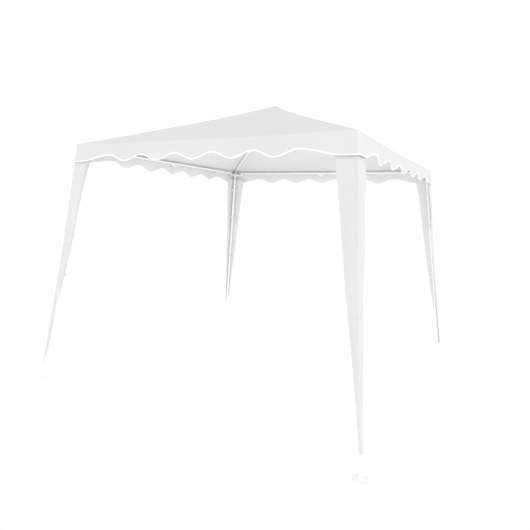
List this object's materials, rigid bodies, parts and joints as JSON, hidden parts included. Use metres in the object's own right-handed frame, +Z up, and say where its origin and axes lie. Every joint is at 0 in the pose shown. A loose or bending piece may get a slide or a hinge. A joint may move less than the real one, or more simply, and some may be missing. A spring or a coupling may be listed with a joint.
{
  "type": "pop up canopy",
  "caption": "Square slant-leg pop up canopy with a low pyramid fabric roof, scalloped valance, tapered fabric leg covers and a folding tube frame on telescoping legs.",
  "frame": {"origin": "on the ground, under the peak, centre of the footprint", "axes": "+Z up, -Y is the front, +X is the right side seen from the front"},
  "size_m": [3.004, 3.004, 2.563],
  "materials": {
    "white_canvas": "plain weave polyester, matte",
    "white_tube": "white powder coat, satin",
    "white_fittings": "white powder coat, satin",
    "white_plate": "white powder coat, satin",
    "white_nylon": "moulded nylon, fine texture",
    "grey_nylon": "moulded nylon",
    "zinc_pins": "zinc plated"
  },
  "bodies": {
    "hub": {"hub_body": "white_nylon", "hub_cap": "white_nylon", "hub_pins": "zinc_pins", "roof_cover": "white_canvas"},
    "hip_upper_front_right": {"hip_upper_front_right": "white_tube"},
    "hip_lower_front_right": {"hip_lower_front_right": "white_tube", "hip_knuckle_front_right": "white_fittings"},
    "corner_front_right": {"corner_bracket_front_right": "white_nylon", "corner_pins_front_right": "zinc_pins"},
    "leg_upper_front_right": {"leg_upper_front_right": "white_tube", "leg_collar_front_right": "white_nylon", "leg_cover_front_right": "white_canvas"},
    "leg_lower_front_right": {"leg_lower_front_right": "white_tube", "foot_plate_front_right": "white_plate"},
    "leg_button_front_right": {"leg_button_front_right": "grey_nylon"},
    "hip_upper_rear_right": {"hip_upper_rear_right": "white_tube"},
    "hip_lower_rear_right": {"hip_lower_rear_right": "white_tube", "hip_knuckle_rear_right": "white_fittings"},
    "corner_rear_right": {"corner_bracket_rear_right": "white_nylon", "corner_pins_rear_right": "zinc_pins"},
    "leg_upper_rear_right": {"leg_upper_rear_right": "white_tube", "leg_collar_rear_right": "white_nylon", "leg_cover_rear_right": "white_canvas"},
    "leg_lower_rear_right": {"leg_lower_rear_right": "white_tube", "foot_plate_rear_right": "white_plate"},
    "leg_button_rear_right": {"leg_button_rear_right": "grey_nylon"},
    "hip_upper_rear_left": {"hip_upper_rear_left": "white_tube"},
    "hip_lower_rear_left": {"hip_lower_rear_left": "white_tube", "hip_knuckle_rear_left": "white_fittings"},
    "corner_rear_left": {"corner_bracket_rear_left": "white_nylon", "corner_pins_rear_left": "zinc_pins"},
    "leg_upper_rear_left": {"leg_upper_rear_left": "white_tube", "leg_collar_rear_left": "white_nylon", "leg_cover_rear_left": "white_canvas"},
    "leg_lower_rear_left": {"leg_lower_rear_left": "white_tube", "foot_plate_rear_left": "white_plate"},
    "leg_button_rear_left": {"leg_button_rear_left": "grey_nylon"},
    "hip_upper_front_left": {"hip_upper_front_left": "white_tube"},
    "hip_lower_front_left": {"hip_lower_front_left": "white_tube", "hip_knuckle_front_left": "white_fittings"},
    "corner_front_left": {"corner_bracket_front_left": "white_nylon", "corner_pins_front_left": "zinc_pins"},
    "leg_upper_front_left": {"leg_upper_front_left": "white_tube", "leg_collar_front_left": "white_nylon", "leg_cover_front_left": "white_canvas"},
    "leg_lower_front_left": {"leg_lower_front_left": "white_tube", "foot_plate_front_left": "white_plate"},
    "leg_button_front_left": {"leg_button_front_left": "grey_nylon"},
    "eave_front_left": {"eave_front_left": "white_tube", "eave_knuckle_front": "white_fittings"},
    "eave_front_right": {"eave_front_right": "white_tube"},
    "eave_right_front": {"eave_right_front": "white_tube", "eave_knuckle_right": "white_fittings"},
    "eave_right_rear": {"eave_right_rear": "white_tube"},
    "eave_rear_right": {"eave_rear_right": "white_tube", "eave_knuckle_rear": "white_fittings"},
    "eave_rear_left": {"eave_rear_left": "white_tube"},
    "eave_left_rear": {"eave_left_rear": "white_tube", "eave_knuckle_left": "white_fittings"},
    "eave_left_front": {"eave_left_front": "white_tube"}
  },
  "joints": [
    {"name": "frame_fold", "type": "hinge", "parent": "hub", "child": "hip_upper_front_right", "pos_m": [0.05657, -0.05657, 2.45798], "axis": [-0.7071, -0.7071, 0], "range_deg": [0, 85], "deforming": ["roof_cover"]},
    {"name": "hip_knuckle_fold_front_right", "type": "hinge", "parent": "hip_upper_front_right", "child": "hip_lower_front_right", "pos_m": [0.63157, -0.63157, 2.24874], "axis": [0.7071, 0.7071, 0], "range_deg": [0, 170]},
    {"name": "corner_fold_front_right", "type": "hinge", "parent": "hip_lower_front_right", "child": "corner_front_right", "pos_m": [1.20657, -1.20657, 2.0395], "axis": [-0.7071, -0.7071, 0], "range_deg": [0, 85]},
    {"name": "leg_fold_front_right", "type": "hinge", "parent": "corner_front_right", "child": "leg_upper_front_right", "pos_m": [1.22212, -1.22212, 1.985], "axis": [0.7071, 0.7071, 0], "range_deg": [0, 9.5]},
    {"name": "leg_slide_front_right", "type": "slide", "parent": "leg_upper_front_right", "child": "leg_lower_front_right", "axis": [-0.1167, 0.1167, 0.9863], "range_m": [0, 0.86], "deforming": ["leg_cover_front_right"]},
    {"name": "leg_button_press_front_right", "type": "slide", "parent": "leg_upper_front_right", "child": "leg_button_front_right", "axis": [0.6974, -0.6974, 0.165], "range_m": [0, 0.003], "stiffness_N_per_m": 400, "springref_m": -0.001},
    {"name": "hip_upper_fold_rear_right", "type": "hinge", "parent": "hub", "child": "hip_upper_rear_right", "pos_m": [0.05657, 0.05657, 2.45798], "axis": [0.7071, -0.7071, 0], "range_deg": [0, 85]},
    {"name": "hip_knuckle_fold_rear_right", "type": "hinge", "parent": "hip_upper_rear_right", "child": "hip_lower_rear_right", "pos_m": [0.63157, 0.63157, 2.24874], "axis": [-0.7071, 0.7071, 0], "range_deg": [0, 170]},
    {"name": "corner_fold_rear_right", "type": "hinge", "parent": "hip_lower_rear_right", "child": "corner_rear_right", "pos_m": [1.20657, 1.20657, 2.0395], "axis": [0.7071, -0.7071, 0], "range_deg": [0, 85]},
    {"name": "leg_fold_rear_right", "type": "hinge", "parent": "corner_rear_right", "child": "leg_upper_rear_right", "pos_m": [1.22212, 1.22212, 1.985], "axis": [-0.7071, 0.7071, 0], "range_deg": [0, 9.5]},
    {"name": "leg_slide_rear_right", "type": "slide", "parent": "leg_upper_rear_right", "child": "leg_lower_rear_right", "axis": [-0.1167, -0.1167, 0.9863], "range_m": [0, 0.86], "deforming": ["leg_cover_rear_right"]},
    {"name": "leg_button_press_rear_right", "type": "slide", "parent": "leg_upper_rear_right", "child": "leg_button_rear_right", "axis": [0.6974, 0.6974, 0.165], "range_m": [0, 0.003], "stiffness_N_per_m": 400, "springref_m": -0.001},
    {"name": "hip_upper_fold_rear_left", "type": "hinge", "parent": "hub", "child": "hip_upper_rear_left", "pos_m": [-0.05657, 0.05657, 2.45798], "axis": [0.7071, 0.7071, 0], "range_deg": [0, 85]},
    {"name": "hip_knuckle_fold_rear_left", "type": "hinge", "parent": "hip_upper_rear_left", "child": "hip_lower_rear_left", "pos_m": [-0.63157, 0.63157, 2.24874], "axis": [-0.7071, -0.7071, 0], "range_deg": [0, 170]},
    {"name": "corner_fold_rear_left", "type": "hinge", "parent": "hip_lower_rear_left", "child": "corner_rear_left", "pos_m": [-1.20657, 1.20657, 2.0395], "axis": [0.7071, 0.7071, 0], "range_deg": [0, 85]},
    {"name": "leg_fold_rear_left", "type": "hinge", "parent": "corner_rear_left", "child": "leg_upper_rear_left", "pos_m": [-1.22212, 1.22212, 1.985], "axis": [-0.7071, -0.7071, 0], "range_deg": [0, 9.5]},
    {"name": "leg_slide_rear_left", "type": "slide", "parent": "leg_upper_rear_left", "child": "leg_lower_rear_left", "axis": [0.1167, -0.1167, 0.9863], "range_m": [0, 0.86], "deforming": ["leg_cover_rear_left"]},
    {"name": "leg_button_press_rear_left", "type": "slide", "parent": "leg_upper_rear_left", "child": "leg_button_rear_left", "axis": [-0.6974, 0.6974, 0.165], "range_m": [0, 0.003], "stiffness_N_per_m": 400, "springref_m": -0.001},
    {"name": "hip_upper_fold_front_left", "type": "hinge", "parent": "hub", "child": "hip_upper_front_left", "pos_m": [-0.05657, -0.05657, 2.45798], "axis": [-0.7071, 0.7071, 0], "range_deg": [0, 85]},
    {"name": "hip_knuckle_fold_front_left", "type": "hinge", "parent": "hip_upper_front_left", "child": "hip_lower_front_left", "pos_m": [-0.63157, -0.63157, 2.24874], "axis": [0.7071, -0.7071, 0], "range_deg": [0, 170]},
    {"name": "corner_fold_front_left", "type": "hinge", "parent": "hip_lower_front_left", "child": "corner_front_left", "pos_m": [-1.20657, -1.20657, 2.0395], "axis": [-0.7071, 0.7071, 0], "range_deg": [0, 85]},
    {"name": "leg_fold_front_left", "type": "hinge", "parent": "corner_front_left", "child": "leg_upper_front_left", "pos_m": [-1.22212, -1.22212, 1.985], "axis": [0.7071, -0.7071, 0], "range_deg": [0, 9.5]},
    {"name": "leg_slide_front_left", "type": "slide", "parent": "leg_upper_front_left", "child": "leg_lower_front_left", "axis": [0.1167, 0.1167, 0.9863], "range_m": [0, 0.86], "deforming": ["leg_cover_front_left"]},
    {"name": "leg_button_press_front_left", "type": "slide", "parent": "leg_upper_front_left", "child": "leg_button_front_left", "axis": [-0.6974, -0.6974, 0.165], "range_m": [0, 0.003], "stiffness_N_per_m": 400, "springref_m": -0.001},
    {"name": "eave_fold_front_left", "type": "hinge", "parent": "corner_front_left", "child": "eave_front_left", "pos_m": [-1.15, -1.23202, 2.016], "axis": [0, -1, 0], "range_deg": [0, 85]},
    {"name": "eave_fold_front_right", "type": "hinge", "parent": "corner_front_right", "child": "eave_front_right", "pos_m": [1.15, -1.23202, 2.016], "axis": [0, 1, 0], "range_deg": [0, 85]},
    {"name": "eave_fold_right_front", "type": "hinge", "parent": "corner_front_right", "child": "eave_right_front", "pos_m": [1.23202, -1.15, 2.016], "axis": [1, 0, 0], "range_deg": [0, 85]},
    {"name": "eave_fold_right_rear", "type": "hinge", "parent": "corner_rear_right", "child": "eave_right_rear", "pos_m": [1.23202, 1.15, 2.016], "axis": [-1, 0, 0], "range_deg": [0, 85]},
    {"name": "eave_fold_rear_right", "type": "hinge", "parent": "corner_rear_right", "child": "eave_rear_right", "pos_m": [1.15, 1.23202, 2.016], "axis": [0, 1, 0], "range_deg": [0, 85]},
    {"name": "eave_fold_rear_left", "type": "hinge", "parent": "corner_rear_left", "child": "eave_rear_left", "pos_m": [-1.15, 1.23202, 2.016], "axis": [0, -1, 0], "range_deg": [0, 85]},
    {"name": "eave_fold_left_rear", "type": "hinge", "parent": "corner_rear_left", "child": "eave_left_rear", "pos_m": [-1.23202, 1.15, 2.016], "axis": [-1, 0, 0], "range_deg": [0, 85]},
    {"name": "eave_fold_left_front", "type": "hinge", "parent": "corner_front_left", "child": "eave_left_front", "pos_m": [-1.23202, -1.15, 2.016], "axis": [1, 0, 0], "range_deg": [0, 85]}
  ],
  "couplings": [
    {"joint": "hip_knuckle_fold_front_right", "follows": "frame_fold", "ratio": 2},
    {"joint": "corner_fold_front_right", "follows": "frame_fold", "ratio": 1},
    {"joint": "leg_fold_front_right", "follows": "frame_fold", "ratio": 0.11176},
    {"joint": "hip_upper_fold_rear_right", "follows": "frame_fold", "ratio": 1},
    {"joint": "hip_knuckle_fold_rear_right", "follows": "frame_fold", "ratio": 2},
    {"joint": "corner_fold_rear_right", "follows": "frame_fold", "ratio": 1},
    {"joint": "leg_fold_rear_right", "follows": "frame_fold", "ratio": 0.11176},
    {"joint": "hip_upper_fold_rear_left", "follows": "frame_fold", "ratio": 1},
    {"joint": "hip_knuckle_fold_rear_left", "follows": "frame_fold", "ratio": 2},
    {"joint": "corner_fold_rear_left", "follows": "frame_fold", "ratio": 1},
    {"joint": "leg_fold_rear_left", "follows": "frame_fold", "ratio": 0.11176},
    {"joint": "hip_upper_fold_front_left", "follows": "frame_fold", "ratio": 1},
    {"joint": "hip_knuckle_fold_front_left", "follows": "frame_fold", "ratio": 2},
    {"joint": "corner_fold_front_left", "follows": "frame_fold", "ratio": 1},
    {"joint": "leg_fold_front_left", "follows": "frame_fold", "ratio": 0.11176},
    {"joint": "eave_fold_front_left", "follows": "frame_fold", "ratio": 1},
    {"joint": "eave_fold_front_right", "follows": "frame_fold", "ratio": 1},
    {"joint": "eave_fold_right_front", "follows": "frame_fold", "ratio": 1},
    {"joint": "eave_fold_right_rear", "follows": "frame_fold", "ratio": 1},
    {"joint": "eave_fold_rear_right", "follows": "frame_fold", "ratio": 1},
    {"joint": "eave_fold_rear_left", "follows": "frame_fold", "ratio": 1},
    {"joint": "eave_fold_left_rear", "follows": "frame_fold", "ratio": 1},
    {"joint": "eave_fold_left_front", "follows": "frame_fold", "ratio": 1}
  ]
}
